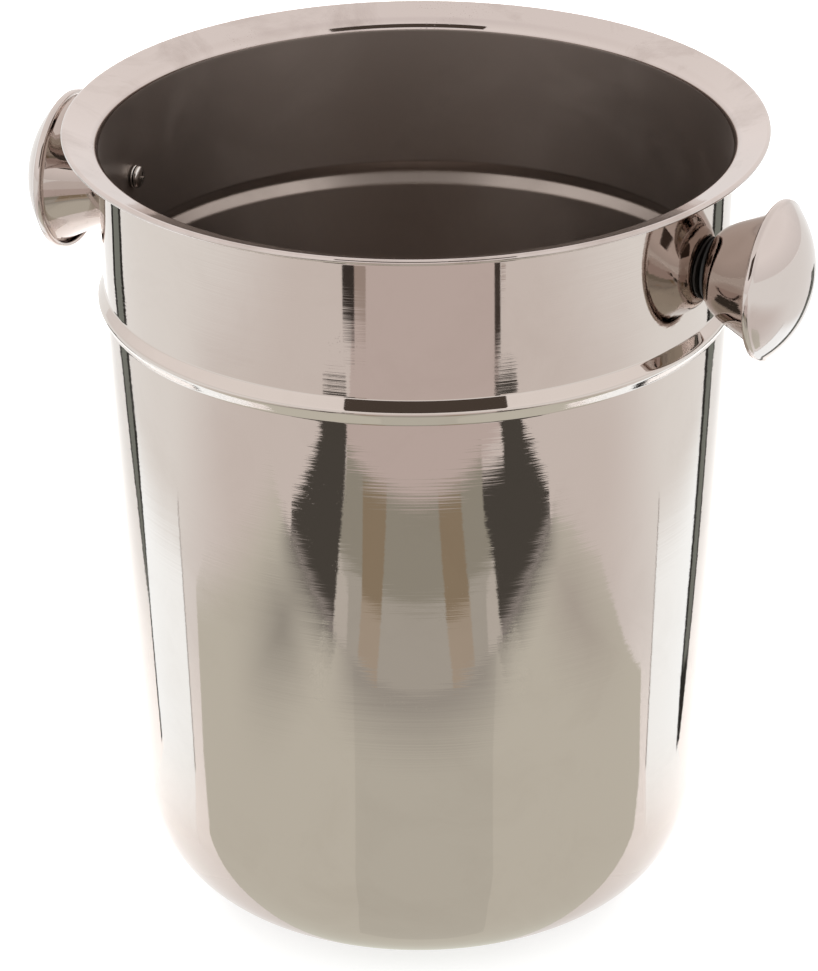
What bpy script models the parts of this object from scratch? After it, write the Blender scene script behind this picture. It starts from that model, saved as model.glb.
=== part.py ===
"""Champagne bucket: a drawn and spun steel shell carried by two hollow knobs, each clamped by one screw."""

import math

import bpy
from mathutils import Vector
from mathutils.geometry import interpolate_bezier

# Driving dimensions, in metres. The base stands on Z = 0 and the knobs lie along X.
HEIGHT = 0.2565
RIM_RADIUS = 0.110
SHEET = 0.0008
CLEARANCE = 0.0003

WALL_TOP_RADIUS = 0.0992
WALL_BEAD_RADIUS = 0.0976
WALL_LOW_RADIUS = 0.0890
CORNER_WIDTH = 0.037
CORNER_HEIGHT = 0.045
BEAD_HEIGHT = 0.202
BEAD_HALF_HEIGHT = 0.0045
BEAD_DEPTH = 0.0022
FLANGE_BEND_RADIUS = 0.0036
FLANGE_SLOPE = math.radians(18)
HEM_RADIUS = 0.00055
HEM_RETURN = 0.0034

KNOB_HEIGHT = 0.2243
KNOB_SHEET = 0.0006
NECK_RADIUS = 0.0112
NECK_ROUND = 0.0020
FLANGE_RADIUS = 0.0242
FLANGE_REACH = 0.0213
CAP_RADIUS = 0.0253
CAP_SHEET = 0.0007
DOME_HEIGHT = 0.0099
LIP_WIDTH = 0.0015
GASKET_RADIUS = 0.0098
GASKET_THICKNESS = 0.0010

SCREW_RADIUS = 0.0020
HEAD_RADIUS = 0.0040
HEAD_HEIGHT = 0.0026
WASHER_RADIUS = 0.0045
WASHER_THICKNESS = 0.0008
NUT_ACROSS_FLATS = 0.0070
NUT_THICKNESS = 0.0032
HOLE_RADIUS = SCREW_RADIUS + CLEARANCE

SHELL_SEGMENTS = 60
KNOB_SEGMENTS = 32
SMALL_SEGMENTS = 20

# The wall's outer face at the knobs, and how far it leans there: a knob stands square to it.
COLLAR_LEAN = math.atan2(WALL_TOP_RADIUS - WALL_BEAD_RADIUS, HEIGHT - BEAD_HEIGHT)
KNOB_SEAT_RADIUS = WALL_TOP_RADIUS - (HEIGHT - KNOB_HEIGHT) * math.tan(COLLAR_LEAN)


def clear_scene():
    for obj in list(bpy.data.objects):
        bpy.data.objects.remove(obj, do_unlink=True)


def make_collection(name, hidden=False):
    collection = bpy.data.collections.new(name)
    collection.hide_render = hidden
    bpy.context.scene.collection.children.link(collection)
    return collection


def make_material(name, colour, roughness, metallic):
    material = bpy.data.materials.new(name)
    material.use_nodes = True
    shader = material.node_tree.nodes["Principled BSDF"]
    shader.inputs["Base Color"].default_value = (*colour, 1.0)
    shader.inputs["Roughness"].default_value = roughness
    shader.inputs["Metallic"].default_value = metallic
    return material


def arc(centre, radii, start, end, count):
    """Points (radius, height) along an arc or a stretch of an ellipse, both ends included."""
    angles = [math.radians(start + (end - start) * i / count) for i in range(count + 1)]
    return [(centre[0] + radii[0] * math.cos(a), centre[1] + radii[1] * math.sin(a)) for a in angles]


def turned(name, points, segments, material, collection):
    """A profile of (radius, height) points turned about Z with a Screw modifier."""
    mesh = bpy.data.meshes.new(name)
    edges = [(i, i + 1) for i in range(len(points) - 1)]
    mesh.from_pydata([(radius, 0.0, height) for radius, height in points], edges, [])
    obj = bpy.data.objects.new(name, mesh)
    collection.objects.link(obj)
    screw = obj.modifiers.new("turn", "SCREW")
    screw.axis = "Z"
    screw.angle = math.tau
    screw.steps = segments
    screw.render_steps = segments
    screw.use_merge_vertices = True
    screw.merge_threshold = 0.00001
    screw.use_smooth_shade = True
    obj.data.materials.append(material)
    return obj


def thicken(obj, thickness):
    """Sheet metal: the turned surface is the middle of the sheet."""
    solidify = obj.modifiers.new("sheet", "SOLIDIFY")
    solidify.thickness = thickness
    solidify.offset = 0.0
    solidify.use_even_offset = True


def cut(obj, cutter):
    boolean = obj.modifiers.new("cut", "BOOLEAN")
    boolean.operation = "DIFFERENCE"
    boolean.object = cutter


def shell_profile():
    """Middle of the bucket's sheet, from the folded edge under the rim down to the centre of the base."""
    half = SHEET / 2
    slope = math.degrees(FLANGE_SLOPE)
    edge = (RIM_RADIUS - half - HEM_RADIUS, HEIGHT - half - HEM_RADIUS)
    hem = arc(edge, (HEM_RADIUS, HEM_RADIUS), slope - 90, slope + 90, 4)
    fold_end = (
        hem[0][0] - HEM_RETURN * math.cos(FLANGE_SLOPE),
        hem[0][1] - HEM_RETURN * math.sin(FLANGE_SLOPE),
    )
    # The flange meets the wall in a bend, which starts where the flange's line touches it.
    bend_x = WALL_TOP_RADIUS - half + FLANGE_BEND_RADIUS
    touch_x = bend_x - FLANGE_BEND_RADIUS * math.sin(FLANGE_SLOPE)
    touch_z = hem[-1][1] - (hem[-1][0] - touch_x) * math.tan(FLANGE_SLOPE)
    bend_z = touch_z - FLANGE_BEND_RADIUS * math.cos(FLANGE_SLOPE)
    bend = arc((bend_x, bend_z), (FLANGE_BEND_RADIUS, FLANGE_BEND_RADIUS), slope + 90, 180, 4)
    bead = []
    for step in range(-4, 5):
        share = step / 4
        swell = BEAD_DEPTH * (1 + math.cos(math.pi * share)) / 2
        bead.append((WALL_BEAD_RADIUS - half + swell, BEAD_HEIGHT - share * BEAD_HALF_HEIGHT))
    corner_centre = (WALL_LOW_RADIUS - CORNER_WIDTH, CORNER_HEIGHT)
    corner_radii = (CORNER_WIDTH - half, CORNER_HEIGHT - half)
    corner = arc(corner_centre, corner_radii, 0, -90, 9)
    return [fold_end] + hem + bend + bead + corner + [(0.0, half)]


def make_shell(collection):
    steel = make_material("polished_steel", (0.72, 0.68, 0.65), 0.12, 1.0)
    shell = turned("bucket_shell", shell_profile(), SHELL_SEGMENTS, steel, collection)
    thicken(shell, SHEET)
    return shell


def make_seat(name, turn, collection):
    """An empty on the wall's outer face whose Z axis is a knob's axis, pointing away from the wall."""
    seat = bpy.data.objects.new(name, None)
    seat.empty_display_size = 0.02
    seat.location = (KNOB_SEAT_RADIUS * math.cos(turn), KNOB_SEAT_RADIUS * math.sin(turn), KNOB_HEIGHT)
    seat.rotation_euler = (0.0, math.pi / 2 + COLLAR_LEAN, turn)
    collection.objects.link(seat)
    return seat


def make_gasket(name, rubber, collection):
    low = CLEARANCE
    high = low + GASKET_THICKNESS
    ring = [
        (HOLE_RADIUS, high),
        (GASKET_RADIUS, high),
        (GASKET_RADIUS, low),
        (HOLE_RADIUS, low),
        (HOLE_RADIUS, high),
    ]
    return turned(name, ring, SMALL_SEGMENTS, rubber, collection)


def cone_profile():
    """Middle of the cone's sheet, from the edge of its flange down to the screw hole in its floor."""
    # The flare is one smooth curve, steep where it leaves the neck and again where it meets the flange.
    floor = GASKET_THICKNESS + 2 * CLEARANCE + KNOB_SHEET / 2
    neck = arc((NECK_RADIUS - NECK_ROUND / 2, floor + NECK_ROUND), (NECK_ROUND, NECK_ROUND), -60, -90, 2)
    flange = [(FLANGE_RADIUS, FLANGE_REACH), (FLANGE_RADIUS - 0.0012, FLANGE_REACH)]
    flange_root = (FLANGE_RADIUS - 0.0021, FLANGE_REACH - 0.0012)
    curve = interpolate_bezier(
        Vector((*flange_root, 0.0)),
        Vector((0.0172, 0.0125, 0.0)),
        Vector((0.0157, 0.0052, 0.0)),
        Vector((*neck[0], 0.0)),
        8,
    )
    flare = [(point.x, point.y) for point in curve]
    return flange + flare[:-1] + neck + [(HOLE_RADIUS, floor)]


def make_cone(name, steel, collection):
    cone = turned(name, cone_profile(), KNOB_SEGMENTS, steel, collection)
    thicken(cone, KNOB_SHEET)
    return cone


def cap_profile():
    """Middle of the cap's sheet: dome, rolled edge, and the lip that closes behind the cone's flange."""
    half = CAP_SHEET / 2
    outer = CAP_RADIUS - half
    lip = FLANGE_REACH - KNOB_SHEET / 2 - CLEARANCE - half
    rim = FLANGE_REACH + KNOB_SHEET / 2 + CLEARANCE + half
    foot = outer - 0.0006
    dome_radius = (foot**2 + DOME_HEIGHT**2) / (2 * DOME_HEIGHT)
    reach = math.degrees(math.asin(foot / dome_radius))
    centre = (0.0, rim + DOME_HEIGHT - dome_radius)
    dome = arc(centre, (dome_radius, dome_radius), 90, 90 - reach, 7)
    edge = [(outer, rim - 0.0005), (outer, lip + 0.0003), (outer - 0.0003, lip)]
    return [(0.0, dome[0][1])] + dome[1:] + edge + [(CAP_RADIUS - LIP_WIDTH, lip)]


def make_cap(name, steel, collection):
    cap = turned(name, cap_profile(), KNOB_SEGMENTS, steel, collection)
    thicken(cap, CAP_SHEET)
    return cap


def make_washer(name, steel, collection):
    high = -SHEET - 1.4 * CLEARANCE
    low = high - WASHER_THICKNESS
    ring = [
        (HOLE_RADIUS, high),
        (WASHER_RADIUS, high),
        (WASHER_RADIUS, low),
        (HOLE_RADIUS, low),
        (HOLE_RADIUS, high),
    ]
    return turned(name, ring, SMALL_SEGMENTS, steel, collection)


def make_nut(name, steel, collection):
    floor_top = GASKET_THICKNESS + 3 * CLEARANCE + KNOB_SHEET
    bpy.ops.mesh.primitive_cylinder_add(
        vertices=6,
        radius=NUT_ACROSS_FLATS / math.sqrt(3),
        depth=NUT_THICKNESS,
        location=(0.0, 0.0, floor_top + NUT_THICKNESS / 2),
    )
    nut = bpy.context.object
    nut.name = name
    nut.data.name = name
    nut.data.materials.append(steel)
    for owner in list(nut.users_collection):
        owner.objects.unlink(nut)
    collection.objects.link(nut)
    return nut


def make_screw(name, steel, collection):
    under_head = -SHEET - 2.4 * CLEARANCE - WASHER_THICKNESS
    tip = GASKET_THICKNESS + 3 * CLEARANCE + KNOB_SHEET + NUT_THICKNESS + 0.0008
    side = under_head - 0.4 * HEAD_HEIGHT
    dome = arc((0.0, side), (HEAD_RADIUS, 0.6 * HEAD_HEIGHT), 0, -90, 5)
    profile = [
        (0.0, tip),
        (SCREW_RADIUS - 0.0005, tip),
        (SCREW_RADIUS, tip - 0.0005),
        (SCREW_RADIUS, under_head),
        (HEAD_RADIUS, under_head),
    ]
    profile += dome[:-1] + [(0.0, dome[-1][1])]
    return turned(name, profile, SMALL_SEGMENTS, steel, collection)


def make_hole_cutter(name, low, high, cutters):
    """A plain cylinder along a knob's axis, as wide as the screw hole."""
    walls = [(0.0, high), (HOLE_RADIUS, high), (HOLE_RADIUS, low), (0.0, low)]
    cutter = turned(name, walls, SMALL_SEGMENTS, bpy.data.materials["plated_steel"], cutters)
    cutter.hide_render = True
    cutter.display_type = "WIRE"
    return cutter


def make_cross_cutter(name, turn, cutters):
    """One bar of the cross recess in a screw's head."""
    head_top = -SHEET - 2.4 * CLEARANCE - WASHER_THICKNESS - HEAD_HEIGHT
    bpy.ops.mesh.primitive_cube_add(size=1.0, location=(0.0, 0.0, head_top))
    cutter = bpy.context.object
    cutter.name = name
    cutter.scale = (0.0042, 0.0009, 0.0024)
    cutter.rotation_euler = (0.0, 0.0, turn)
    bpy.ops.object.transform_apply(location=True, rotation=True, scale=True)
    cutter.hide_render = True
    cutter.display_type = "WIRE"
    for owner in list(cutter.users_collection):
        owner.objects.unlink(cutter)
    cutters.objects.link(cutter)
    return cutter


def make_knob(side, turn, shell, steels, collection, cutters):
    """One knob and its fastening, built about Z and hung on the seat on its side of the wall."""
    polished, plated, rubber = steels
    seat = make_seat(f"{side}_knob_seat", turn, collection)
    gasket = make_gasket(f"{side}_knob_gasket", rubber, collection)
    cone = make_cone(f"{side}_knob_cone", polished, collection)
    cap = make_cap(f"{side}_knob_cap", polished, collection)
    washer = make_washer(f"{side}_knob_washer", plated, collection)
    nut = make_nut(f"{side}_knob_nut", plated, collection)
    screw = make_screw(f"{side}_knob_screw", plated, collection)
    hole = make_hole_cutter(f"{side}_hole_cutter", -0.004, 0.012, cutters)
    bars = [make_cross_cutter(f"{side}_cross_cutter_{i}", i * math.pi / 2, cutters) for i in range(2)]
    for obj in (gasket, cone, cap, washer, nut, screw, hole, *bars):
        obj.parent = seat
    cut(shell, hole)
    cut(nut, hole)
    for bar in bars:
        cut(screw, bar)


def main():
    clear_scene()
    bucket = make_collection("champagne_bucket")
    cutters = make_collection("cutters", hidden=True)
    polished = make_material("knob_steel", (0.70, 0.66, 0.62), 0.10, 1.0)
    plated = make_material("plated_steel", (0.62, 0.60, 0.58), 0.28, 1.0)
    rubber = make_material("black_rubber", (0.02, 0.02, 0.02), 0.60, 0.0)
    shell = make_shell(bucket)
    make_knob("right", 0.0, shell, (polished, plated, rubber), bucket, cutters)
    make_knob("left", math.pi, shell, (polished, plated, rubber), bucket, cutters)


main()
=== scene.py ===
"""Champagne bucket: a spun steel shell with a rolled rim and two knobs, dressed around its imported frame."""

import math

import bpy
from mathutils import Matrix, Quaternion, Vector
from mathutils.geometry import interpolate_bezier


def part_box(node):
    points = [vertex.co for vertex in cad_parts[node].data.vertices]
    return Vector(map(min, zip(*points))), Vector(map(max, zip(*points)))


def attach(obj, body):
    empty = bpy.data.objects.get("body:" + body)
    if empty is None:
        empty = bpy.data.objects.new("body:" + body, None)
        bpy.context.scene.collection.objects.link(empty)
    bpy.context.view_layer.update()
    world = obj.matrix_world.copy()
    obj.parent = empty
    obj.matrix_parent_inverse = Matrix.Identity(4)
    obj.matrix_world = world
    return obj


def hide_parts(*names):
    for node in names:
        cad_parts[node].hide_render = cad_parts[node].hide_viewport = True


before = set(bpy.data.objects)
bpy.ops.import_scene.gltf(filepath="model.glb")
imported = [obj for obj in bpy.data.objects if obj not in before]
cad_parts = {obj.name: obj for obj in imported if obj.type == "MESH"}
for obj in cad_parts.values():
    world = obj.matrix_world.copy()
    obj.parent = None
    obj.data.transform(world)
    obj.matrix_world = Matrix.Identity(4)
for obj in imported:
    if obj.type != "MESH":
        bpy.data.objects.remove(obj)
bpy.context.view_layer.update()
bpy.ops.object.select_all(action="DESELECT")


# ---------------------------------------------------------------- shell
# One disc of stainless sheet, deep drawn, then spun on a lathe: the flange is turned out and its edge
# folded under, and a bead is rolled outwards below the knobs. The outside is buffed to a mirror over fine
# spin lines, and the inside is left satin.
shell_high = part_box("bucket_shell")[1]
height = shell_high.z
rim_radius = shell_high.x
sheet = 0.0008
wall_top_radius = 0.0992
wall_bead_radius = 0.0976
wall_low_radius = 0.0890
wall_crown = 0.00038
corner_width = 0.037
corner_height = 0.045
corner_start = -4.6  # degrees, where the wall's lean runs into the corner
corner_steps = 44
bead_height = 0.2018
bead_half_height = 0.0042
bead_depth = 0.0021
bead_foot = 0.15
bead_crest = 0.22
bead_steps = 14
flange_bend = 0.0040
bend_steps = 14
flange_slope = math.radians(18)
hem_radius = 0.00055
hem_return = 0.0034
hem_steps = 10
wall_bands = 26
base_radii = (0.026, 0.004)
polish_reach = 0.2  # how far down the bend the buffing wheel reaches, as a share of the bend's radius
shell_sides = 216
hold = 0.0004  # a ring this far from each change of direction keeps it crisp


def arc(centre, radii, start, end, count):
    """Rings (radius, height) along an arc or a stretch of an ellipse, both ends included."""
    turns = [math.radians(start + (end - start) * i / count) for i in range(count + 1)]
    return [(centre[0] + radii[0] * math.cos(t), centre[1] + radii[1] * math.sin(t)) for t in turns]


def spin_from_rings(name, rings, sides, closed_end=True):
    """Draws a sheet ring by ring from a first open ring, and closes it on the axis if it ends there."""
    radius, level = rings[0]
    bpy.ops.object.select_all(action="DESELECT")
    start = (0, 0, level)
    bpy.ops.mesh.primitive_circle_add(vertices=sides, radius=radius, fill_type="NOTHING", location=start)
    piece = bpy.context.object
    piece.name = piece.data.name = name
    bpy.ops.object.transform_apply(location=True, rotation=True, scale=True)
    bpy.ops.object.mode_set(mode="EDIT")
    bpy.ops.mesh.select_mode(type="EDGE")
    bpy.ops.mesh.select_all(action="SELECT")
    for next_radius, next_level in rings[1:]:
        bpy.ops.mesh.extrude_region_move(TRANSFORM_OT_translate={"value": (0, 0, next_level - level)})
        share = next_radius / radius
        bpy.ops.transform.resize(value=(share, share, 1), center_override=(0, 0, 0))
        radius, level = next_radius, next_level
    if closed_end:
        bpy.ops.mesh.merge(type="CENTER")
    bpy.ops.mesh.select_all(action="SELECT")
    bpy.ops.mesh.normals_make_consistent(inside=False)
    bpy.ops.object.mode_set(mode="OBJECT")
    bpy.ops.object.shade_smooth()
    return piece


def give_thickness(piece, thickness, far_slot=0):
    """Sheet metal, drawn at mid-thickness. Its outer side takes the material that is far_slot on."""
    solidify = piece.modifiers.new("sheet", "SOLIDIFY")
    solidify.thickness = thickness
    solidify.offset = 0.0
    solidify.use_even_offset = True
    solidify.material_offset = far_slot
    bpy.context.view_layer.objects.active = piece
    bpy.ops.object.modifier_apply(modifier=solidify.name)


half = sheet / 2
slope = math.degrees(flange_slope)
edge = (rim_radius - half - hem_radius, height - half - hem_radius)
hem = arc(edge, (hem_radius, hem_radius), slope - 90, slope + 90, hem_steps)
fold_end = (hem[0][0] - hem_return * math.cos(flange_slope), hem[0][1] - hem_return * math.sin(flange_slope))
bend_x = wall_top_radius - half + flange_bend
touch_x = bend_x - flange_bend * math.sin(flange_slope)
touch_z = hem[-1][1] - (hem[-1][0] - touch_x) * math.tan(flange_slope)
bend_z = touch_z - flange_bend * math.cos(flange_slope)
bend = arc((bend_x, bend_z), (flange_bend, flange_bend), slope + 90, 180, bend_steps)
along_flange = (math.cos(flange_slope), math.sin(flange_slope))
flange = [
    (hem[-1][0] - hold * along_flange[0], hem[-1][1] - hold * along_flange[1]),
    (bend[0][0] + hold * along_flange[0], bend[0][1] + hold * along_flange[1]),
]


def bead_swell(climb):
    """How far the bead stands out at a share of the climb from foot to crest, both of them rounded."""
    full = 1 - bead_foot / 2 - bead_crest / 2
    rise = climb**2 / (2 * bead_foot) if climb < bead_foot else climb - bead_foot / 2
    over = max(0.0, climb - (1 - bead_crest))
    return bead_depth * (rise - over**2 / (2 * bead_crest)) / full


bead = []
for step in range(-bead_steps, bead_steps + 1):
    share = step / bead_steps
    swell = bead_swell(1 - abs(share))
    bead.append((wall_bead_radius - half + swell, bead_height - share * bead_half_height))
corner_centre = (wall_low_radius - corner_width, corner_height)
corner = arc(corner_centre, (corner_width - half, corner_height - half), corner_start, -90, corner_steps)


def run_between(start, end, shares, crown=0.0):
    """Rings along a wall from start to end, which may belly outwards a little between them."""
    return [
        (
            start[0] + (end[0] - start[0]) * share + crown * 4 * share * (1 - share),
            start[1] + (end[1] - start[1]) * share,
        )
        for share in shares
    ]


collar_share = hold / (bend[-1][1] - bead[0][1])
collar_shares = (collar_share, 3 * collar_share, 0.5, 1 - 3 * collar_share, 1 - collar_share)
collar = run_between(bend[-1], bead[0], collar_shares)
wall_shares = [0.0025, 0.0075, *(band / wall_bands for band in range(1, wall_bands)), 0.9975]
wall = run_between(bead[-1], corner[0], wall_shares, wall_crown)
base = [(corner_centre[0] - hold, half), *((radius, half) for radius in base_radii)]
shell_rings = [fold_end, (hem[0][0] - hold * along_flange[0], hem[0][1] - hold * along_flange[1])]
shell_rings += hem + flange + bend + collar + bead + wall + corner + base
shell = spin_from_rings("shell", shell_rings, shell_sides)

# Spin lines run round the axis of whatever was on the lathe: each is a little higher or lower than the
# next.
spin_lines = bpy.data.node_groups.new("spin_lines", "ShaderNodeTree")
spin_lines.interface.new_socket("Vector", in_out="INPUT", socket_type="NodeSocketVector")
for socket_name, value in (("Lines per metre", 900.0), ("Turns", 9.0), ("Broad share", 0.5)):
    made = spin_lines.interface.new_socket(socket_name, in_out="INPUT", socket_type="NodeSocketFloat")
    made.default_value = value
for socket_name in ("Height", "Tone"):
    spin_lines.interface.new_socket(socket_name, in_out="OUTPUT", socket_type="NodeSocketFloat")


def put(tree, kind, place, **settings):
    """Adds one node at a place in its tree, with its settings and its unlinked inputs."""
    node = tree.nodes.new(kind)
    node.location = place
    for key, value in settings.items():
        if key.startswith("in_"):
            name = key[3:]
            node.inputs[int(name) if name.isdigit() else name.replace("_", " ")].default_value = value
        else:
            setattr(node, key, value)
    return node


def build_spin_lines(tree):
    enter = put(tree, "NodeGroupInput", (-1100, 0))
    leave = put(tree, "NodeGroupOutput", (700, 0))
    split = put(tree, "ShaderNodeSeparateXYZ", (-900, 0))
    flat = put(tree, "ShaderNodeCombineXYZ", (-740, 160))
    reach = put(tree, "ShaderNodeVectorMath", (-560, 160), operation="LENGTH")
    travel = put(tree, "ShaderNodeMath", (-400, 60), operation="ADD")
    dense = put(tree, "ShaderNodeMath", (-240, 60), operation="MULTIPLY")
    broad = put(tree, "ShaderNodeMath", (-240, -120), operation="MULTIPLY", in_1=0.17)
    turned_x = put(tree, "ShaderNodeMath", (-560, -160), operation="MULTIPLY")
    turned_y = put(tree, "ShaderNodeMath", (-560, -320), operation="MULTIPLY")
    fine_place = put(tree, "ShaderNodeCombineXYZ", (-60, 80))
    broad_place = put(tree, "ShaderNodeCombineXYZ", (-60, -140))
    fine = put(tree, "ShaderNodeTexNoise", (120, 120), in_Scale=1.0, in_Detail=3.0, in_Roughness=0.6)
    wide = put(tree, "ShaderNodeTexNoise", (120, -160), in_Scale=1.0, in_Detail=1.0, in_Roughness=0.5)
    share = put(tree, "ShaderNodeMath", (320, -60), operation="MULTIPLY")
    scaled = put(tree, "ShaderNodeMath", (420, -200), operation="MULTIPLY", in_1=5.5)
    total = put(tree, "ShaderNodeMath", (540, 40), operation="ADD")
    link = tree.links.new
    link(enter.outputs["Vector"], split.inputs[0])
    link(split.outputs["X"], flat.inputs["X"])
    link(split.outputs["Y"], flat.inputs["Y"])
    link(flat.outputs[0], reach.inputs[0])
    link(reach.outputs["Value"], travel.inputs[0])
    link(split.outputs["Z"], travel.inputs[1])
    link(travel.outputs[0], dense.inputs[0])
    link(enter.outputs["Lines per metre"], dense.inputs[1])
    link(dense.outputs[0], broad.inputs[0])
    for axis, node in (("X", turned_x), ("Y", turned_y)):
        link(split.outputs[axis], node.inputs[0])
        link(enter.outputs["Turns"], node.inputs[1])
        link(node.outputs[0], fine_place.inputs[axis])
        link(node.outputs[0], broad_place.inputs[axis])
    link(dense.outputs[0], fine_place.inputs["Z"])
    link(broad.outputs[0], broad_place.inputs["Z"])
    link(fine_place.outputs[0], fine.inputs["Vector"])
    link(broad_place.outputs[0], wide.inputs["Vector"])
    link(wide.outputs[0], share.inputs[0])
    link(enter.outputs["Broad share"], share.inputs[1])
    link(share.outputs[0], scaled.inputs[0])
    link(fine.outputs[0], total.inputs[0])
    link(scaled.outputs[0], total.inputs[1])
    link(total.outputs[0], leave.inputs["Height"])
    link(fine.outputs[0], leave.inputs["Tone"])


build_spin_lines(spin_lines)

# Marks of use: faint wiped smears, and small pits and specks left by buffing and washing.
use_marks = bpy.data.node_groups.new("use_marks", "ShaderNodeTree")
use_marks.interface.new_socket("Vector", in_out="INPUT", socket_type="NodeSocketVector")
for socket_name, value in (("Smear scale", 30.0), ("Pit scale", 1100.0), ("Pit amount", 0.5)):
    made = use_marks.interface.new_socket(socket_name, in_out="INPUT", socket_type="NodeSocketFloat")
    made.default_value = value
for socket_name in ("Smear", "Pits"):
    use_marks.interface.new_socket(socket_name, in_out="OUTPUT", socket_type="NodeSocketFloat")


def build_use_marks(tree):
    enter = put(tree, "NodeGroupInput", (-900, 0))
    leave = put(tree, "NodeGroupOutput", (700, 0))
    cloud = put(tree, "ShaderNodeTexNoise", (-600, 200), in_Detail=5.0, in_Roughness=0.62, in_Distortion=0.6)
    smear = put(tree, "ShaderNodeMapRange", (-380, 200), in_1=0.48, in_2=0.78)
    cells = put(tree, "ShaderNodeTexVoronoi", (-600, -120))
    dots = put(tree, "ShaderNodeMapRange", (-380, -120), in_1=0.22, in_2=0.10)
    gate_cloud = put(tree, "ShaderNodeTexNoise", (-600, -420), in_Scale=55.0, in_Detail=2.0)
    gate = put(tree, "ShaderNodeMapRange", (-380, -420), in_1=0.56, in_2=0.66)
    gated = put(tree, "ShaderNodeMath", (-100, -200), operation="MULTIPLY")
    amount = put(tree, "ShaderNodeMath", (140, -200), operation="MULTIPLY", use_clamp=True)
    link = tree.links.new
    link(enter.outputs["Vector"], cloud.inputs["Vector"])
    link(enter.outputs["Vector"], cells.inputs["Vector"])
    link(enter.outputs["Vector"], gate_cloud.inputs["Vector"])
    link(enter.outputs["Smear scale"], cloud.inputs["Scale"])
    link(enter.outputs["Pit scale"], cells.inputs["Scale"])
    link(cloud.outputs[0], smear.inputs[0])
    link(cells.outputs["Distance"], dots.inputs[0])
    link(gate_cloud.outputs[0], gate.inputs[0])
    link(dots.outputs[0], gated.inputs[0])
    link(gate.outputs[0], gated.inputs[1])
    link(gated.outputs[0], amount.inputs[0])
    link(enter.outputs["Pit amount"], amount.inputs[1])
    link(smear.outputs[0], leave.inputs["Smear"])
    link(amount.outputs[0], leave.inputs["Pits"])


build_use_marks(use_marks)


def spun_steel(name, clean, dull, rough, rough_smeared, line_depth, lines, broad, pits, stretch, centre=None):
    """Steel off the lathe: clean and dull tints, roughness where clean and where smeared, the depth of its lines
    and their number to the metre, the share of broad lines, the amount of pits, the stretch of its highlights,
    and the place and turn of a knob's own axis."""
    material = bpy.data.materials.new(name)
    material.use_nodes = True
    tree = material.node_tree
    tree.nodes.clear()
    out = put(tree, "ShaderNodeOutputMaterial", (900, 0))
    shader = put(tree, "ShaderNodeBsdfPrincipled", (600, 0))
    shader.inputs["Metallic"].default_value = 1.0
    shader.inputs["Anisotropic"].default_value = stretch
    shader.inputs["Anisotropic Rotation"].default_value = 0.25
    where = put(tree, "ShaderNodeTexCoord", (-1100, 0))
    place = put(tree, "ShaderNodeMapping", (-900, 0), vector_type="TEXTURE")
    if centre:
        place.inputs["Location"].default_value = centre[0]
        place.inputs["Rotation"].default_value = centre[1]
    turned = put(tree, "ShaderNodeGroup", (-640, 200), node_tree=spin_lines)
    turned.inputs["Lines per metre"].default_value = lines
    turned.inputs["Broad share"].default_value = broad
    marks = put(tree, "ShaderNodeGroup", (-640, -200), node_tree=use_marks)
    marks.inputs["Pit amount"].default_value = pits
    tint = put(tree, "ShaderNodeMix", (-100, 260), data_type="RGBA")
    tint.inputs[6].default_value = (*clean, 1)
    tint.inputs[7].default_value = (*dull, 1)
    wear = put(tree, "ShaderNodeMath", (-360, 120), operation="MAXIMUM")
    gloss = put(tree, "ShaderNodeMapRange", (-100, -20))
    gloss.inputs["To Min"].default_value = rough
    gloss.inputs["To Max"].default_value = rough_smeared
    lines_up = put(tree, "ShaderNodeBump", (160, -240))
    lines_up.inputs["Strength"].default_value = 1.0
    lines_up.inputs["Distance"].default_value = line_depth
    pits_in = put(tree, "ShaderNodeBump", (380, -240), invert=True)
    pits_in.inputs["Strength"].default_value = 0.6
    pits_in.inputs["Distance"].default_value = 0.00005
    link = tree.links.new
    link(where.outputs["Object"], place.inputs["Vector"])
    link(place.outputs[0], turned.inputs["Vector"])
    link(place.outputs[0], marks.inputs["Vector"])
    link(marks.outputs["Smear"], wear.inputs[0])
    link(marks.outputs["Pits"], wear.inputs[1])
    link(wear.outputs[0], tint.inputs[0])
    link(tint.outputs[2], shader.inputs["Base Color"])
    link(marks.outputs["Smear"], gloss.inputs[0])
    link(gloss.outputs[0], shader.inputs["Roughness"])
    link(turned.outputs["Height"], lines_up.inputs["Height"])
    link(marks.outputs["Pits"], pits_in.inputs["Height"])
    link(lines_up.outputs[0], pits_in.inputs["Normal"])
    link(pits_in.outputs[0], shader.inputs["Normal"])
    link(shader.outputs[0], out.inputs["Surface"])
    return material


mirror_steel = spun_steel(
    "mirror_steel",
    clean=(0.58, 0.515, 0.475),
    dull=(0.55, 0.485, 0.445),
    rough=0.03,
    rough_smeared=0.06,
    line_depth=0.000010,
    lines=1100.0,
    broad=0.4,
    pits=0.12,
    stretch=0.0,
)
satin_steel = spun_steel(
    "satin_steel",
    clean=(0.43, 0.37, 0.335),
    dull=(0.385, 0.33, 0.295),
    rough=0.34,
    rough_smeared=0.42,
    line_depth=0.000012,
    lines=1400.0,
    broad=0.25,
    pits=0.25,
    stretch=0.6,
)
rim_steel = spun_steel(
    "rim_steel",
    clean=(0.57, 0.50, 0.47),
    dull=(0.42, 0.355, 0.325),
    rough=0.035,
    rough_smeared=0.14,
    line_depth=0.000003,
    lines=1300.0,
    broad=0.4,
    pits=0.9,
    stretch=0.0,
)
shell.data.materials.append(satin_steel)
shell.data.materials.append(mirror_steel)
shell.data.materials.append(rim_steel)
give_thickness(shell, sheet, far_slot=1)


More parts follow.
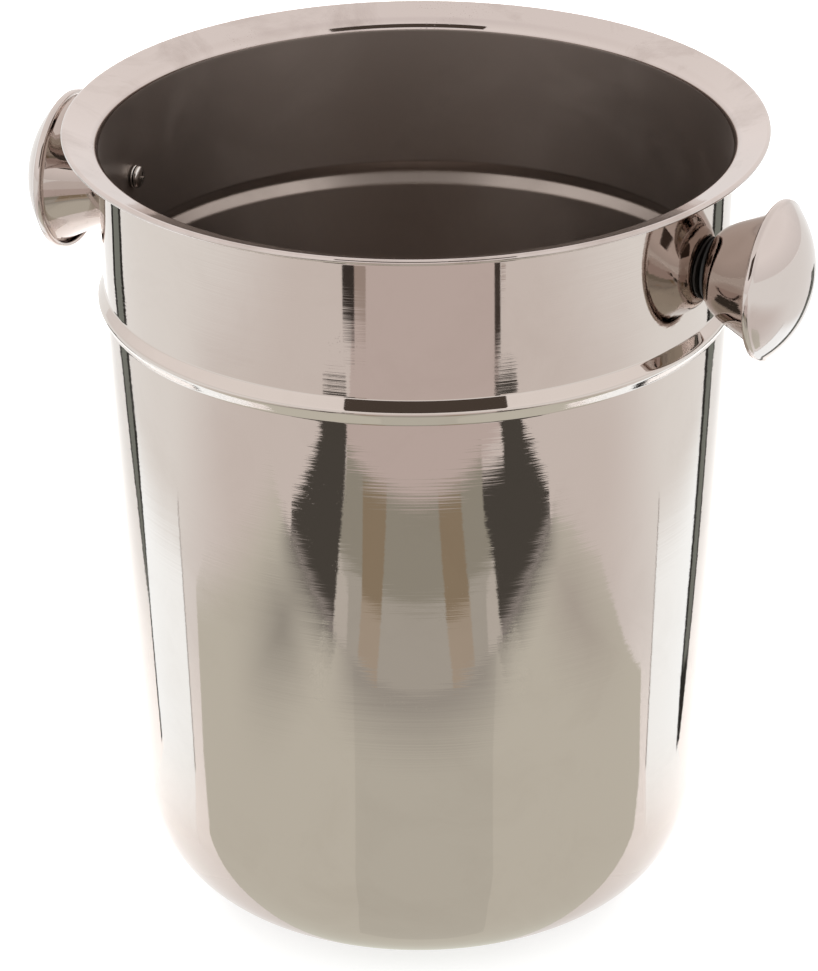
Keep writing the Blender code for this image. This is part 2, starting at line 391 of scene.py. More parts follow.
def select_faces(piece, wanted):
    """Selects, in edit mode, the faces that wanted(centre, normal) picks."""
    bpy.ops.object.select_all(action="DESELECT")
    bpy.context.view_layer.objects.active = piece
    piece.select_set(True)
    bpy.ops.object.mode_set(mode="EDIT")
    bpy.ops.mesh.select_mode(type="FACE")
    bpy.ops.mesh.select_all(action="DESELECT")
    bpy.ops.object.mode_set(mode="OBJECT")
    for face in piece.data.polygons:
        face.select = bool(wanted(face.center, face.normal))
    bpy.ops.object.mode_set(mode="EDIT")


# The buffing wheel reaches over the rim and just round the bend, so the satin starts below it. The flange
# takes the knocks and the handling, so its polish is the most marked.
polish_end = bend_z + polish_reach * flange_bend
select_faces(shell, lambda centre, normal: centre.z > polish_end)
shell.active_material_index = 2
bpy.ops.object.material_slot_assign()
bpy.ops.object.mode_set(mode="OBJECT")
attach(shell, "root")
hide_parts("bucket_shell")


# ---------------------------------------------------------------- knob cones
# The part of a knob that the fingers close round: a trumpet of thin sheet, pressed, with its floor against
# the gasket and its wide end out to the cap. One is made on the axis, then stood square to the wall on each
# side.
collar_lean = math.atan2(wall_top_radius - wall_bead_radius, height - bead_height)
knob_height = 0.2243
knob_seat = Vector((wall_top_radius - (height - knob_height) * math.tan(collar_lean), 0, knob_height))
knob_tilt = math.pi / 2 + collar_lean
gap = 0.0003
gasket_thickness = 0.0010
knob_sheet = 0.0006
neck_radius = 0.0112
neck_round = 0.0020
cone_radius = 0.0242
cone_reach = 0.0213
cone_flange = 0.0012
flare_top = (cone_radius - 0.0021, cone_reach - 0.0012)
flare_pulls = ((0.0172, 0.0125), (0.0157, 0.0052))
flare_steps = 26
screw_hole = 0.0023
knob_sides = 96


def stand_on_wall(piece, turn):
    """Takes a piece made about the upright axis to its side of the wall, square to the wall's lean."""
    bpy.ops.object.select_all(action="DESELECT")
    bpy.context.view_layer.objects.active = piece
    piece.select_set(True)
    piece.rotation_euler = (0.0, knob_tilt, turn)
    piece.location = (knob_seat.x * math.cos(turn), knob_seat.x * math.sin(turn), knob_seat.z)
    bpy.ops.object.transform_apply(location=True, rotation=True, scale=True)


def both_sides(piece, made_of, nodes_end):
    """Stands the finished piece on the right, and a copy with its own mesh on the left."""
    left = piece.copy()
    left.data = piece.data.copy()
    bpy.context.scene.collection.objects.link(left)
    stem = piece.name
    piece.name = piece.data.name = f"right_{stem}"
    left.name = left.data.name = f"left_{stem}"
    for side, copy, turn in (("right", piece, 0.0), ("left", left, math.pi)):
        stand_on_wall(copy, turn)
        for index, make in enumerate(made_of):
            copy.data.materials[index] = make[side]
        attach(copy, "root")
        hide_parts(f"{side}_knob_{nodes_end}")


floor_mid = gasket_thickness + 2 * gap + knob_sheet / 2
neck = arc((neck_radius - neck_round / 2, floor_mid + neck_round), (neck_round, neck_round), -60, -90, 6)
curve = interpolate_bezier(
    Vector((*flare_top, 0)),
    Vector((*flare_pulls[0], 0)),
    Vector((*flare_pulls[1], 0)),
    Vector((*neck[0], 0)),
    flare_steps,
)
flare = [(point.x, point.y) for point in curve]
cone_rings = [(cone_radius, cone_reach), (cone_radius - cone_flange, cone_reach), *flare[:-1], *neck]
cone_rings.append((screw_hole, floor_mid))
cone = spin_from_rings("cone", cone_rings, knob_sides, closed_end=False)
seats = {
    "right": (tuple(knob_seat), (0.0, knob_tilt, 0.0)),
    "left": ((-knob_seat.x, 0.0, knob_seat.z), (0.0, knob_tilt, math.pi)),
}
cone_steel = {
    side: spun_steel(
        f"{side}_cone_steel",
        clean=(0.475, 0.405, 0.37),
        dull=(0.41, 0.345, 0.31),
        rough=0.035,
        rough_smeared=0.09,
        line_depth=0.000002,
        lines=1500.0,
        broad=0.3,
        pits=0.3,
        stretch=0.0,
        centre=seat,
    )
    for side, seat in seats.items()
}
cone.data.materials.append(cone_steel["right"])
give_thickness(cone, knob_sheet)
both_sides(cone, [cone_steel], "cone")


# ---------------------------------------------------------------- knob caps
# The low dome that closes each knob's end, pressed from one disc. Its edge is rolled over the cone's flange
# and ends in a narrow lip behind it, which leaves a fine dark crease.
cap_radius = 0.0253
cap_sheet = 0.0007
dome_height = 0.0099
lip_width = 0.0015
foot_inset = 0.0006
dome_steps = 30
cap_half = cap_sheet / 2
cap_outer = cap_radius - cap_half
lip_level = cone_reach - knob_sheet / 2 - gap - cap_half
rim_level = cone_reach + knob_sheet / 2 + gap + cap_half
dome_foot = cap_outer - foot_inset
dome_radius = (dome_foot**2 + dome_height**2) / (2 * dome_height)
dome_span = math.degrees(math.asin(dome_foot / dome_radius))
dome_centre = (0.0, rim_level + dome_height - dome_radius)
dome = arc(dome_centre, (dome_radius, dome_radius), 90 - dome_span, 87, dome_steps)
roll = [
    (cap_radius - lip_width, lip_level),
    (cap_outer - 0.0004, lip_level),
    (cap_outer - 0.0001, lip_level + 0.0001),
    (cap_outer, lip_level + 0.0004),
    (cap_outer, rim_level - 0.0005),
    (cap_outer - 0.0002, rim_level - 0.0002),
]
cap = spin_from_rings("cap", roll + dome, knob_sides)
cap_steel = {
    side: spun_steel(
        f"{side}_cap_steel",
        clean=(0.565, 0.50, 0.47),
        dull=(0.52, 0.455, 0.425),
        rough=0.05,
        rough_smeared=0.12,
        line_depth=0.000002,
        lines=1200.0,
        broad=0.4,
        pits=0.5,
        stretch=0.0,
        centre=seat,
    )
    for side, seat in seats.items()
}
cap.data.materials.append(cap_steel["right"])
give_thickness(cap, cap_sheet)
both_sides(cap, [cap_steel], "cap")


# ---------------------------------------------------------------- gaskets
# A near-black ring between each cone's floor and the wall, so that the polish isn't scratched and no water comes
# through. Its edges are softened.
gasket_radius = 0.0098
gasket_soft_edge = 0.0003
ring_sides = 48


def flat_ring(name, inner, outer, low, high, soften):
    """A washer-like ring: an annulus drawn up by its thickness, with all its edges softened."""
    rings = [(inner, low), (outer, low), (outer, high), (inner, high)]
    ring = spin_from_rings(name, rings, ring_sides, closed_end=False)
    bpy.ops.object.mode_set(mode="EDIT")
    bpy.ops.mesh.select_mode(type="EDGE")
    bpy.ops.mesh.select_all(action="DESELECT")
    bpy.ops.mesh.select_non_manifold()
    bpy.ops.mesh.bridge_edge_loops()
    bpy.ops.mesh.select_all(action="SELECT")
    bpy.ops.mesh.normals_make_consistent(inside=False)
    bpy.ops.object.mode_set(mode="OBJECT")
    bevel = ring.modifiers.new("softened", "BEVEL")
    bevel.width = soften
    bevel.segments = 3
    bevel.limit_method = "ANGLE"
    bpy.ops.object.modifier_apply(modifier=bevel.name)
    bpy.ops.object.shade_smooth()
    return ring


gasket = flat_ring("gasket", screw_hole, gasket_radius, gap, gap + gasket_thickness, gasket_soft_edge)
gasket_black = bpy.data.materials.new("gasket_black_material")
gasket_black.use_nodes = True
gasket_black_tree = gasket_black.node_tree
gasket_black_shader = gasket_black_tree.nodes["Principled BSDF"]
gasket_black_place = put(gasket_black_tree, "ShaderNodeTexCoord", (-900, 0))
gasket_black_grain = put(gasket_black_tree, "ShaderNodeTexNoise", (-660, 0), in_Scale=2600.0, in_Detail=4.0)
gasket_black_tint = put(gasket_black_tree, "ShaderNodeMapRange", (-440, 120), in_3=0.03, in_4=0.055)
gasket_black_gloss = put(gasket_black_tree, "ShaderNodeMapRange", (-440, -120), in_3=0.5, in_4=0.75)
gasket_black_bump = put(gasket_black_tree, "ShaderNodeBump", (-240, -300), in_Strength=0.4, in_Distance=0.00003)
gasket_black_tree.links.new(gasket_black_place.outputs["Object"], gasket_black_grain.inputs["Vector"])
gasket_black_tree.links.new(gasket_black_grain.outputs[0], gasket_black_tint.inputs[0])
gasket_black_tree.links.new(gasket_black_grain.outputs[0], gasket_black_gloss.inputs[0])
gasket_black_tree.links.new(gasket_black_grain.outputs[0], gasket_black_bump.inputs["Height"])
gasket_black_tree.links.new(gasket_black_tint.outputs[0], gasket_black_shader.inputs["Base Color"])
gasket_black_tree.links.new(gasket_black_gloss.outputs[0], gasket_black_shader.inputs["Roughness"])
gasket_black_tree.links.new(gasket_black_bump.outputs[0], gasket_black_shader.inputs["Normal"])
gasket.data.materials.append(gasket_black)
both_sides(gasket, [{"right": gasket_black, "left": gasket_black}], "gasket")


# ---------------------------------------------------------------- washers
# A plated washer under each screw head, on the inside of the wall, stamped from strip with softened edges.
washer_radius = 0.0037
washer_thickness = 0.0005
washer_soft_edge = 0.0002
washer_high = -sheet - 1.4 * gap
washer_low = washer_high - washer_thickness
washer = flat_ring("washer", screw_hole, washer_radius, washer_low, washer_high, washer_soft_edge)


def plated_steel(name, clean, dull):
    """Bright plating on small stampings: even tint with cloudy dull patches and a very fine grain."""
    material = bpy.data.materials.new(name)
    material.use_nodes = True
    tree = material.node_tree
    shader = tree.nodes["Principled BSDF"]
    shader.inputs["Metallic"].default_value = 1.0
    where = put(tree, "ShaderNodeTexCoord", (-1000, 0))
    marks = put(tree, "ShaderNodeGroup", (-760, 100), node_tree=use_marks)
    marks.inputs["Smear scale"].default_value = 260.0
    marks.inputs["Pit scale"].default_value = 2200.0
    grain = put(tree, "ShaderNodeTexNoise", (-760, -200), in_Scale=3000.0, in_Detail=3.0)
    tint = put(tree, "ShaderNodeMix", (-400, 200), data_type="RGBA")
    tint.inputs[6].default_value = (*clean, 1)
    tint.inputs[7].default_value = (*dull, 1)
    gloss = put(tree, "ShaderNodeMapRange", (-400, 0), in_3=0.18, in_4=0.36)
    bump = put(tree, "ShaderNodeBump", (-300, -260), in_Strength=0.3, in_Distance=0.00001)
    link = tree.links.new
    link(where.outputs["Object"], marks.inputs["Vector"])
    link(where.outputs["Object"], grain.inputs["Vector"])
    link(marks.outputs["Smear"], tint.inputs[0])
    link(marks.outputs["Smear"], gloss.inputs[0])
    link(tint.outputs[2], shader.inputs["Base Color"])
    link(gloss.outputs[0], shader.inputs["Roughness"])
    link(grain.outputs[0], bump.inputs["Height"])
    link(bump.outputs[0], shader.inputs["Normal"])
    return material


plating = plated_steel("bright_plating", (0.66, 0.63, 0.60), (0.50, 0.46, 0.43))
washer.data.materials.append(plating)
both_sides(washer, [{"right": plating, "left": plating}], "washer")


# ---------------------------------------------------------------- screws
# One machine screw to each knob, driven from inside the bucket: a low domed head with a cross recess, and a
# threaded shank through washer, wall, gasket and cone into the nut.
screw_radius = 0.0020
head_radius = 0.0035
head_height = 0.0017
head_side_share = 0.4
head_steps = 14
head_soft_edge = 0.0002
nut_thickness = 0.0032
thread_pitch = 0.0007
thread_depth = 0.00035
tip_soft_edge = 0.0005
screw_sides = 40
recess_size = (0.0034, 0.0008, 0.0018)
recess_turn = 0.3
under_head = -sheet - 2.4 * gap - washer_thickness
screw_tip = gasket_thickness + 3 * gap + knob_sheet + nut_thickness + 0.0008
head_side = under_head - head_side_share * head_height
head_dome = arc((0.0, head_side), (head_radius, (1 - head_side_share) * head_height), 0, -84, head_steps)
shank = []
level = screw_tip - tip_soft_edge
while level > under_head + 0.001:
    shank += [(screw_radius, level), (screw_radius - thread_depth, level - thread_pitch / 2)]
    level -= thread_pitch
screw_rings = [(0.0004, screw_tip), (screw_radius - tip_soft_edge, screw_tip), *shank]
screw_rings += [(screw_radius, level), (screw_radius, under_head), (head_radius - head_soft_edge, under_head)]
screw_rings += [(head_radius, under_head - head_soft_edge), *head_dome]
screw = spin_from_rings("screw", screw_rings, screw_sides)
bpy.ops.object.mode_set(mode="EDIT")
bpy.ops.mesh.select_mode(type="EDGE")
bpy.ops.mesh.select_all(action="DESELECT")
bpy.ops.mesh.select_non_manifold()
bpy.ops.mesh.edge_face_add()
bpy.ops.mesh.select_all(action="SELECT")
bpy.ops.mesh.normals_make_consistent(inside=False)
bpy.ops.object.mode_set(mode="OBJECT")
head_top = under_head - head_height
for turn in (recess_turn, recess_turn + math.pi / 2):
    bpy.ops.mesh.primitive_cube_add(size=1.0, location=(0, 0, head_top))
    bar = bpy.context.object
    bar.scale = recess_size
    bar.rotation_euler = (0, 0, turn)
    bpy.ops.object.transform_apply(location=True, rotation=True, scale=True)
    cut = screw.modifiers.new("recess", "BOOLEAN")
    cut.operation = "DIFFERENCE"
    cut.object = bar
    bpy.context.view_layer.objects.active = screw
    bpy.ops.object.modifier_apply(modifier=cut.name)
    bpy.data.objects.remove(bar)
screw.data.materials.clear()
screw.data.materials.append(plating)
bpy.ops.object.select_all(action="DESELECT")
screw.select_set(True)
bpy.context.view_layer.objects.active = screw
bpy.ops.object.shade_smooth_by_angle(angle=math.radians(35))
both_sides(screw, [{"right": plating, "left": plating}], "screw")


# ---------------------------------------------------------------- nuts
# A hexagon nut inside each cone, out of sight behind the cap. The frame's own nuts stay, plated like the
# screws.
for side in ("right", "left"):
    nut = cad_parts[f"{side}_knob_nut"]
    nut.data.materials.clear()
    nut.data.materials.append(plating)


# ---------------------------------------------------------------- floor, cards and lights
# A plain pale floor, lit hot behind the bucket, with a soft bright room round it. Flat cards lie just over the
# floor: a grey cloth, dark flags, black strips and white sheets. They glow evenly instead of being lit, so their
# light and shade is painted. Only the steel shows them, for its contrast.
view_turn = math.radians(23.8)
to_camera = Vector((math.sin(view_turn), -math.cos(view_turn), 0))
to_right = Vector((math.cos(view_turn), math.sin(view_turn), 0))


def studio_spot(forward, right, up):
    """A place given as metres towards the camera, to its right, and up."""
    return to_camera * forward + to_right * right + Vector((0, 0, up))


def plain_paint(name, colour):
    material = bpy.data.materials.new(name)
    material.use_nodes = True
    shader = material.node_tree.nodes["Principled BSDF"]
    shader.inputs["Base Color"].default_value = (*colour, 1)
    shader.inputs["Roughness"].default_value = 0.9
    shader.inputs["Specular IOR Level"].default_value = 0.0
    return material


def card_paint(name, colour):
    """Paint for the cards that only the steel shows: they glow evenly, so the bucket doesn't shade them."""
    material = plain_paint(name, (0.0, 0.0, 0.0))
    shader = material.node_tree.nodes["Principled BSDF"]
    shader.inputs["Emission Color"].default_value = (*colour, 1)
    shader.inputs["Emission Strength"].default_value = 1.36
    return material


def soft_paint(name, colour, centre, half_size, soften):
    """Card paint that thins out at a rectangle's sides, sized in metres towards the camera, then right."""
    material = card_paint(name, colour)
    tree = material.node_tree
    where = put(tree, "ShaderNodeTexCoord", (-1300, -200))
    turned = put(tree, "ShaderNodeMapping", (-1100, -200), vector_type="TEXTURE")
    turned.inputs["Location"].default_value = studio_spot(*centre, 0)
    turned.inputs["Rotation"].default_value = (0, 0, view_turn - math.pi / 2)
    split = put(tree, "ShaderNodeSeparateXYZ", (-900, -200))
    both = put(tree, "ShaderNodeMath", (-260, -200), operation="MULTIPLY")
    link = tree.links.new
    link(where.outputs["Object"], turned.inputs["Vector"])
    link(turned.outputs[0], split.inputs[0])
    for index in (0, 1):
        out = put(tree, "ShaderNodeMath", (-700, -100 - 200 * index), operation="ABSOLUTE")
        fade = put(tree, "ShaderNodeMapRange", (-500, -100 - 200 * index), interpolation_type="SMOOTHSTEP")
        fade.inputs["From Min"].default_value = half_size[index] + soften[index]
        fade.inputs["From Max"].default_value = half_size[index] - soften[index]
        link(split.outputs[index], out.inputs[0])
        link(out.outputs[0], fade.inputs[0])
        link(fade.outputs[0], both.inputs[index])
    link(both.outputs[0], tree.nodes["Principled BSDF"].inputs["Alpha"])
    return material


bpy.ops.object.select_all(action="DESELECT")
bpy.ops.mesh.primitive_plane_add(size=16.0, location=(0, 0, 0))
studio_floor = bpy.context.object
studio_floor.name = "studio_floor"
floor_paint = plain_paint("floor_paint", (0.62, 0.62, 0.62))
floor_shader = floor_paint.node_tree.nodes["Principled BSDF"]
floor_shader.inputs["Emission Color"].default_value = (0.97, 1.0, 1.01, 1)
floor_shader.inputs["Emission Strength"].default_value = 0.62
studio_floor.data.materials.append(floor_paint)


def draw_card(name, spots, material):
    """A flat card drawn from corner to corner. Only the steel shows it."""
    bpy.ops.object.select_all(action="DESELECT")
    bpy.ops.mesh.primitive_plane_add(size=0.01, location=spots[0])
    card = bpy.context.object
    card.name = card.data.name = name
    bpy.ops.object.transform_apply(location=True, rotation=True, scale=True)
    bpy.ops.object.mode_set(mode="EDIT")
    bpy.ops.mesh.select_mode(type="VERT")
    bpy.ops.mesh.select_all(action="SELECT")
    bpy.ops.mesh.merge(type="CENTER")
    for here, there in zip(spots, spots[1:]):
        bpy.ops.mesh.extrude_vertices_move(TRANSFORM_OT_translate={"value": there - here})
    bpy.ops.mesh.select_all(action="SELECT")
    bpy.ops.mesh.edge_face_add()
    bpy.ops.object.mode_set(mode="OBJECT")
    card.data.materials.append(material)
    card.visible_camera = card.visible_diffuse = card.visible_shadow = False


def lying_card(name, corners, material, lift):
    """A card just over the floor, by its corners in metres towards the camera and to its right."""
    draw_card(name, [studio_spot(f, r, lift) for f, r in corners], material)


def oblong(near, far, left, right):
    return [(near, left), (near, right), (far, right), (far, left)]


# The floor's light is painted on glowing cards: brightest close to the bucket, less beside it and less still in
# front. Beyond the table's front edge lies a warmer board.
for side, sign in (("left", -1), ("right", 1)):
    side_middle = (0.0, sign * 4.2)
    side_paint = soft_paint(f"{side}_side_paint", (0.84, 0.855, 0.85), side_middle, (7.5, 4.0), (0.30, 0.09))
    lying_card(f"{side}_side_card", oblong(-7.8, 7.8, sign * 0.08, sign * 7.8), side_paint, 0.0004)
front_paint = soft_paint("front_paint", (0.68, 0.645, 0.625), (4.06, 0.0), (4.0, 0.50), (0.12, 0.14))
lying_card("front_card", oblong(-0.10, 7.8, -0.7, 0.7), front_paint, 0.0006)
board_paint = card_paint("board_paint", (0.57, 0.505, 0.485))
board = [(0.395, -0.178), (0.50, -0.20), (0.75, -0.30), (0.75, 0.36), (0.50, 0.245), (0.395, 0.215)]
lying_card("front_board", board, board_paint, 0.0008)

# A grey cloth lies from just before the bucket to the table's edge, with painted shade where the flags shade it:
# darker cards that fade at their sides.
cloth_near = [(0.030, -0.30), (0.033, -0.24), (0.037, -0.185), (0.045, -0.14), (0.051, -0.09), (0.056, -0.06)]
cloth_near += [(0.062, 0.0), (0.056, 0.06), (0.051, 0.09), (0.045, 0.13), (0.034, 0.17), (0.030, 0.238)]
cloth_far = [(0.067, 0.256), (0.10, 0.279), (0.143, 0.301), (0.218, 0.290), (0.258, 0.272)]
cloth_far += [(0.258, -0.33), (0.10, -0.36)]
cloth_paint = soft_paint("cloth_paint", (0.585, 0.59, 0.525), (0.0, 0.0), (1.0, 0.300), (0.01, 0.035))
lying_card("grey_cloth", cloth_near + cloth_far, cloth_paint, 0.0010)
# Painted shade: a darker card down the middle of the cloth.
middle_shade_paint = card_paint("middle_shade_paint", (0.535, 0.54, 0.48))
middle_shade_spots = [(0.075, -0.022), (0.096, -0.029), (0.205, -0.079), (0.257, -0.104), (0.257, 0.122), (0.201, 0.087)]
lying_card("cloth_middle_shade", [*middle_shade_spots, (0.094, 0.030), (0.075, 0.022)], middle_shade_paint, 0.0012)
left_shade = soft_paint(
    "left_shade_paint", (0.30, 0.295, 0.268), (0.20, -0.215), (0.045, 0.030), (0.075, 0.050)
)
lying_card("left_shade", oblong(0.05, 0.262, -0.32, -0.13), left_shade, 0.0013)
right_shade = soft_paint(
    "right_shade_paint", (0.38, 0.345, 0.325), (0.18, 0.245), (0.060, 0.010), (0.09, 0.065)
)
lying_card("right_shade", oblong(0.03, 0.262, 0.14, 0.32), right_shade, 0.0013)
wedge_shade = soft_paint("wedge_shade_paint", (0.20, 0.195, 0.18), (0.27, 0.0), (0.022, 0.265), (0.028, 0.02))
lying_card("left_wedge_shade", oblong(0.21, 0.262, -0.27, -0.135), wedge_shade, 0.0014)
lying_card("right_wedge_shade", oblong(0.21, 0.262, 0.125, 0.28), wedge_shade, 0.0014)
edge_shade = soft_paint("edge_shade_paint", (0.30, 0.29, 0.27), (0.27, 0.0), (0.030, 0.12), (0.042, 0.03))
lying_card("edge_shade", oblong(0.18, 0.257, -0.16, 0.16), edge_shade, 0.0014)

# The table's front is pale, with a grey band and two tan strips. At each end a painted highlight, a brighter
# card, stands for a turned-up corner catching the light.
front_low_paint = card_paint("front_low_paint", (0.43, 0.425, 0.385))
front_high_paint = card_paint("front_high_paint", (0.315, 0.31, 0.265))
lit_corner_paint = card_paint("lit_corner_paint", (0.54, 0.53, 0.49))
tan_paint = card_paint("tan_paint", (0.285, 0.235, 0.165))
pale_tan_paint = card_paint("pale_tan_paint", (0.42, 0.37, 0.30))
front_low = [(0.257, -0.142), (0.257, 0.135), (0.33, 0.15), (0.33, -0.165)]
front_high = [(0.318, -0.16), (0.318, 0.15), (0.395, 0.15), (0.395, -0.172)]
left_corner = [(0.257, -0.142), (0.262, -0.118), (0.300, -0.130), (0.318, -0.161)]
right_corner = [(0.257, 0.135), (0.262, 0.110), (0.300, 0.122), (0.318, 0.147)]
left_tan = [(0.305, -0.105), (0.305, -0.068), (0.392, -0.072), (0.385, -0.128)]
right_tan = [(0.305, 0.048), (0.305, 0.092), (0.385, 0.095), (0.392, 0.044)]
left_pale_tan = [(0.262, -0.098), (0.258, -0.065), (0.305, -0.068), (0.305, -0.105)]
right_pale_tan = [(0.258, 0.050), (0.262, 0.086), (0.305, 0.092), (0.305, 0.048)]
lying_card("front_low", front_low, front_low_paint, 0.0012)
lying_card("front_high", front_high, front_high_paint, 0.0013)
lying_card("left_corner", left_corner, lit_corner_paint, 0.0014)
lying_card("right_corner", right_corner, lit_corner_paint, 0.0014)
lying_card("left_tan", left_tan, tan_paint, 0.0014)
lying_card("right_tan", right_tan, tan_paint, 0.0014)
lying_card("left_pale_tan", left_pale_tan, pale_tan_paint, 0.0014)
lying_card("right_pale_tan", right_pale_tan, pale_tan_paint, 0.0014)

# Dark flags lie at the table's two front corners and, narrower, further out on the board. A brown slat lies
# by each of the narrow ones.
flag_paint = soft_paint("flag_paint", (0.072, 0.068, 0.060), (1.262, 0.0), (1.0, 0.5), (0.014, 0.02))
black_paint = card_paint("black_card_paint", (0.028, 0.027, 0.025))
left_flag = [(0.25, -0.140), (0.274, -0.148), (0.321, -0.160), (0.372, -0.169), (0.432, -0.186)]
left_flag += [(0.452, -0.203), (0.430, -0.245), (0.415, -0.258), (0.385, -0.240), (0.351, -0.243)]
left_flag += [(0.319, -0.251), (0.280, -0.262), (0.25, -0.245)]
right_flag = [(0.25, 0.137), (0.273, 0.137), (0.311, 0.146), (0.354, 0.141), (0.382, 0.147)]
right_flag += [(0.368, 0.203), (0.400, 0.208), (0.452, 0.214), (0.432, 0.262), (0.418, 0.272)]
right_flag += [(0.364, 0.259), (0.329, 0.267), (0.281, 0.276), (0.25, 0.255)]
lying_card("left_flag", left_flag, flag_paint, 0.0016)
lying_card("right_flag", right_flag, flag_paint, 0.0016)
left_far_fade = (1.500, 0.0)
right_far_fade = (1.465, 0.0)
left_far_paint = soft_paint("left_far_paint", (0.045, 0.038, 0.034), left_far_fade, (1.0, 0.5), (0.016, 0.02))
right_far_paint = soft_paint(
    "right_far_paint", (0.055, 0.044, 0.038), right_far_fade, (1.0, 0.5), (0.012, 0.02)
)
left_far_flag = [(0.46, -0.212), (0.70, -0.325), (0.70, -0.262), (0.46, -0.176)]
right_far_flag = [(0.44, 0.212), (0.70, 0.338), (0.70, 0.366), (0.44, 0.232)]
lying_card("left_far_flag", left_far_flag, left_far_paint, 0.0016)
lying_card("right_far_flag", right_far_flag, right_far_paint, 0.0016)
slat_paint = soft_paint("slat_paint", (0.36, 0.30, 0.27), (1.52, 0.0), (1.0, 0.5), (0.02, 0.02))
left_slat = [(0.46, -0.178), (0.70, -0.264), (0.70, -0.205), (0.46, -0.145)]
right_slat = [(0.44, 0.234), (0.70, 0.372), (0.70, 0.398), (0.44, 0.250)]
lying_card("left_slat", left_slat, slat_paint, 0.0015)
lying_card("right_slat", right_slat, slat_paint, 0.0015)

# Beside the bucket a black strip with a grey core edges the light, and in front of it lies a white sheet
# whose near edge shows as a thin seam.
left_strip_near = [(-0.041, -0.1675), (-0.100, -0.231), (-0.150, -0.288), (-0.200, -0.340)]
left_strip_near += [(-0.33, -0.43), (-0.40, -0.53)]
left_strip_far = [(-0.041, -0.163), (-0.111, -0.236), (-0.185, -0.281), (-0.292, -0.327)]
left_strip_far += [(-0.396, -0.350), (-0.48, -0.46)]
right_strip_near = [(-0.031, 0.159), (-0.0635, 0.2005), (-0.107, 0.245), (-0.165, 0.297)]
right_strip_near += [(-0.30, 0.42), (-0.44, 0.52)]
right_strip_far = [(-0.041, 0.162), (-0.098, 0.205), (-0.186, 0.262), (-0.289, 0.327)]
right_strip_far += [(-0.40, 0.35), (-0.52, 0.42)]
strips = {"left": (left_strip_near, left_strip_far), "right": (right_strip_near, right_strip_far)}
core_inset = 0.22
strip_core_paint = card_paint("strip_core_paint", (0.185, 0.20, 0.18))
for side, (near_edge, far_edge) in strips.items():
    lying_card(f"{side}_strip", near_edge + far_edge[::-1], black_paint, 0.0016)
    pairs = [(Vector(near), Vector(far)) for near, far in zip(near_edge[1:], far_edge[1:])]
    core = [tuple(near.lerp(far, core_inset)) for near, far in pairs]
    core += [tuple(far.lerp(near, core_inset)) for near, far in pairs[::-1]]
    lying_card(f"{side}_strip_core", core, strip_core_paint, 0.0017)
    sign = -1 if side == "left" else 1
    paper = [(0.034, 0.110), (0.024, 0.1695), (-0.0255, 0.372), (-0.25, 0.372), (-0.18, 0.285)]
    paper += [(-0.105, 0.230), (-0.036, 0.163), (-0.038, 0.110)]
    paper_paint = soft_paint(
        f"{side}_sheet_paint", (1.08, 1.17, 1.21), (0.0, sign * 0.240), (0.5, 0.090), (0.05, 0.045)
    )
    lying_card(f"{side}_white_sheet", [(f, sign * r) for f, r in paper], paper_paint, 0.0014)
seam_paint = card_paint("seam_paint", (0.30, 0.285, 0.27))
for side, sign in (("left", -1), ("right", 1)):
    seam = [(-0.022, 0.358), (0.024, 0.169), (0.0255, 0.169), (-0.0195, 0.358)]
    lying_card(f"{side}_seam", [(f, sign * r) for f, r in seam], seam_paint, 0.0016)

# One wide softbox hangs behind the bucket and whitens the floor there. The steel doesn't show it.
softbox_spot = studio_spot(-0.80, 0.0, 0.75)
softbox_aim = studio_spot(-0.5, 0.0, 0.0)
bpy.ops.object.light_add(type="AREA", location=softbox_spot)
softbox = bpy.context.object
softbox.name = "back_softbox"
softbox.data.shape = "RECTANGLE"
softbox.data.size, softbox.data.size_y = 2.2, 0.5
softbox.data.energy = 20.0
softbox.rotation_mode = "QUATERNION"
softbox.rotation_quaternion = (softbox_aim - softbox_spot).to_track_quat("-Z", "Y")
softbox.visible_glossy = False

# A dark curtain hangs behind the camera: the bead's upper side mirrors it as one dark band.
curtain_out = 2.8
curtain_corners = ((-1.3, 1.15), (1.65, 1.15), (2.05, 3.5), (-1.65, 3.5))
curtain_paint = card_paint("curtain_paint", (0.072, 0.058, 0.048))
curtain_spots = [studio_spot(curtain_out, right, up) for right, up in curtain_corners]
draw_card("dark_curtain", curtain_spots, curtain_paint)

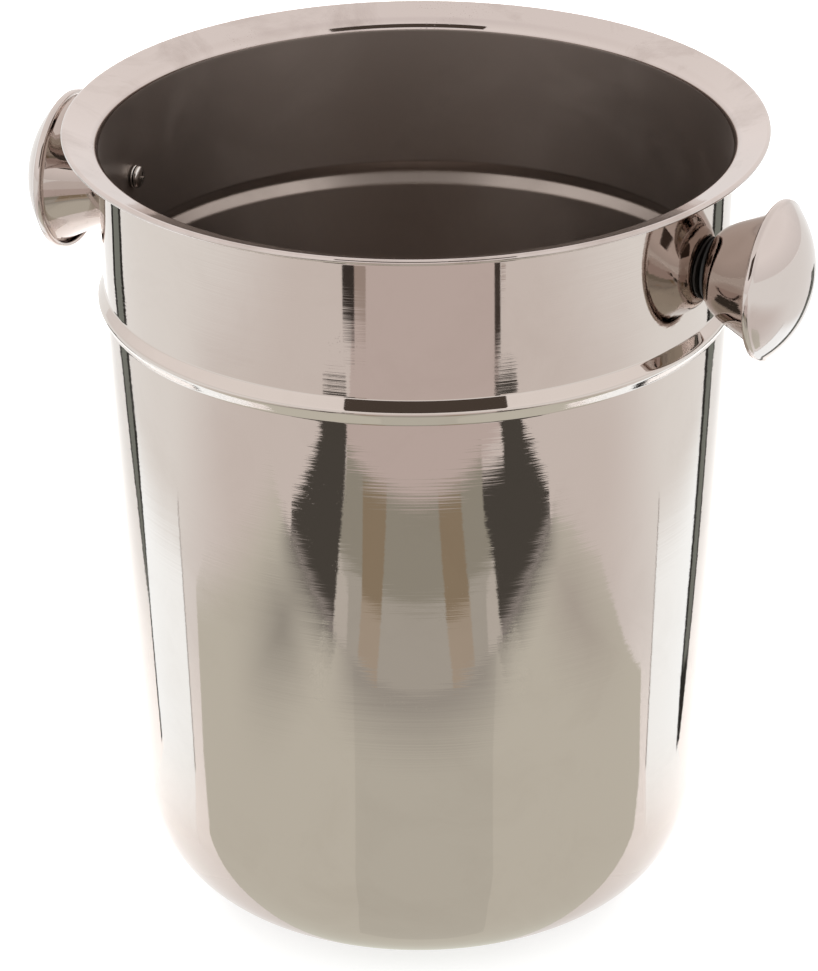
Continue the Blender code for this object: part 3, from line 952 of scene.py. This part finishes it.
# The room's air is bright low down and a little dimmer overhead.
world = bpy.data.worlds.new("studio_air")
bpy.context.scene.world = world
world.use_nodes = True
air = world.node_tree
sky_place = put(air, "ShaderNodeTexCoord", (-900, 0))
sky_split = put(air, "ShaderNodeSeparateXYZ", (-700, 0))
sky = put(air, "ShaderNodeValToRGB", (-500, 0))
sky.color_ramp.elements[0].position = 0.0
sky.color_ramp.elements[0].color = (0.84, 0.82, 0.81, 1)
sky.color_ramp.elements[1].position = 1.0
sky.color_ramp.elements[1].color = (0.86, 0.83, 0.82, 1)
sky_steps = ((0.28, (1.0, 0.975, 0.965)), (0.55, (0.97, 0.945, 0.93)), (0.86, (0.92, 0.89, 0.875)))
for position, colour in sky_steps:
    element = sky.color_ramp.elements.new(position)
    element.color = (*colour, 1)
air.links.new(sky_place.outputs["Generated"], sky_split.inputs[0])
air.links.new(sky_split.outputs["Z"], sky.inputs[0])
air.links.new(sky.outputs[0], air.nodes["Background"].inputs["Color"])
air.nodes["Background"].inputs["Strength"].default_value = 1.2


# ---------------------------------------------------------------- camera
# A long lens a little over two metres off, looking down at the bucket and square to neither knob.
camera_out = 2.2928
camera_up = 1.1606
camera_pitch = 0.4209
camera_yaw = -0.0013
camera_roll = -0.0078
camera_lens = 294.8
camera_data = bpy.data.cameras.new("camera")
camera_data.sensor_fit = "AUTO"
camera_data.sensor_width = 36.0
camera_data.lens = camera_lens
camera_data.clip_start = 0.1
camera_data.clip_end = 60.0
camera = bpy.data.objects.new("camera", camera_data)
bpy.context.scene.collection.objects.link(camera)
camera.location = studio_spot(camera_out, 0.0, camera_up)
aim = (
    -to_camera * math.cos(camera_yaw) * math.cos(camera_pitch)
    + to_right * math.sin(camera_yaw) * math.cos(camera_pitch)
    + Vector((0, 0, -math.sin(camera_pitch)))
)
camera.rotation_mode = "QUATERNION"
level_turn = aim.to_track_quat("-Z", "Y")
camera.rotation_quaternion = Quaternion(aim, -camera_roll) @ level_turn
bpy.context.scene.camera = camera
bpy.context.scene.view_settings.view_transform = "Standard"
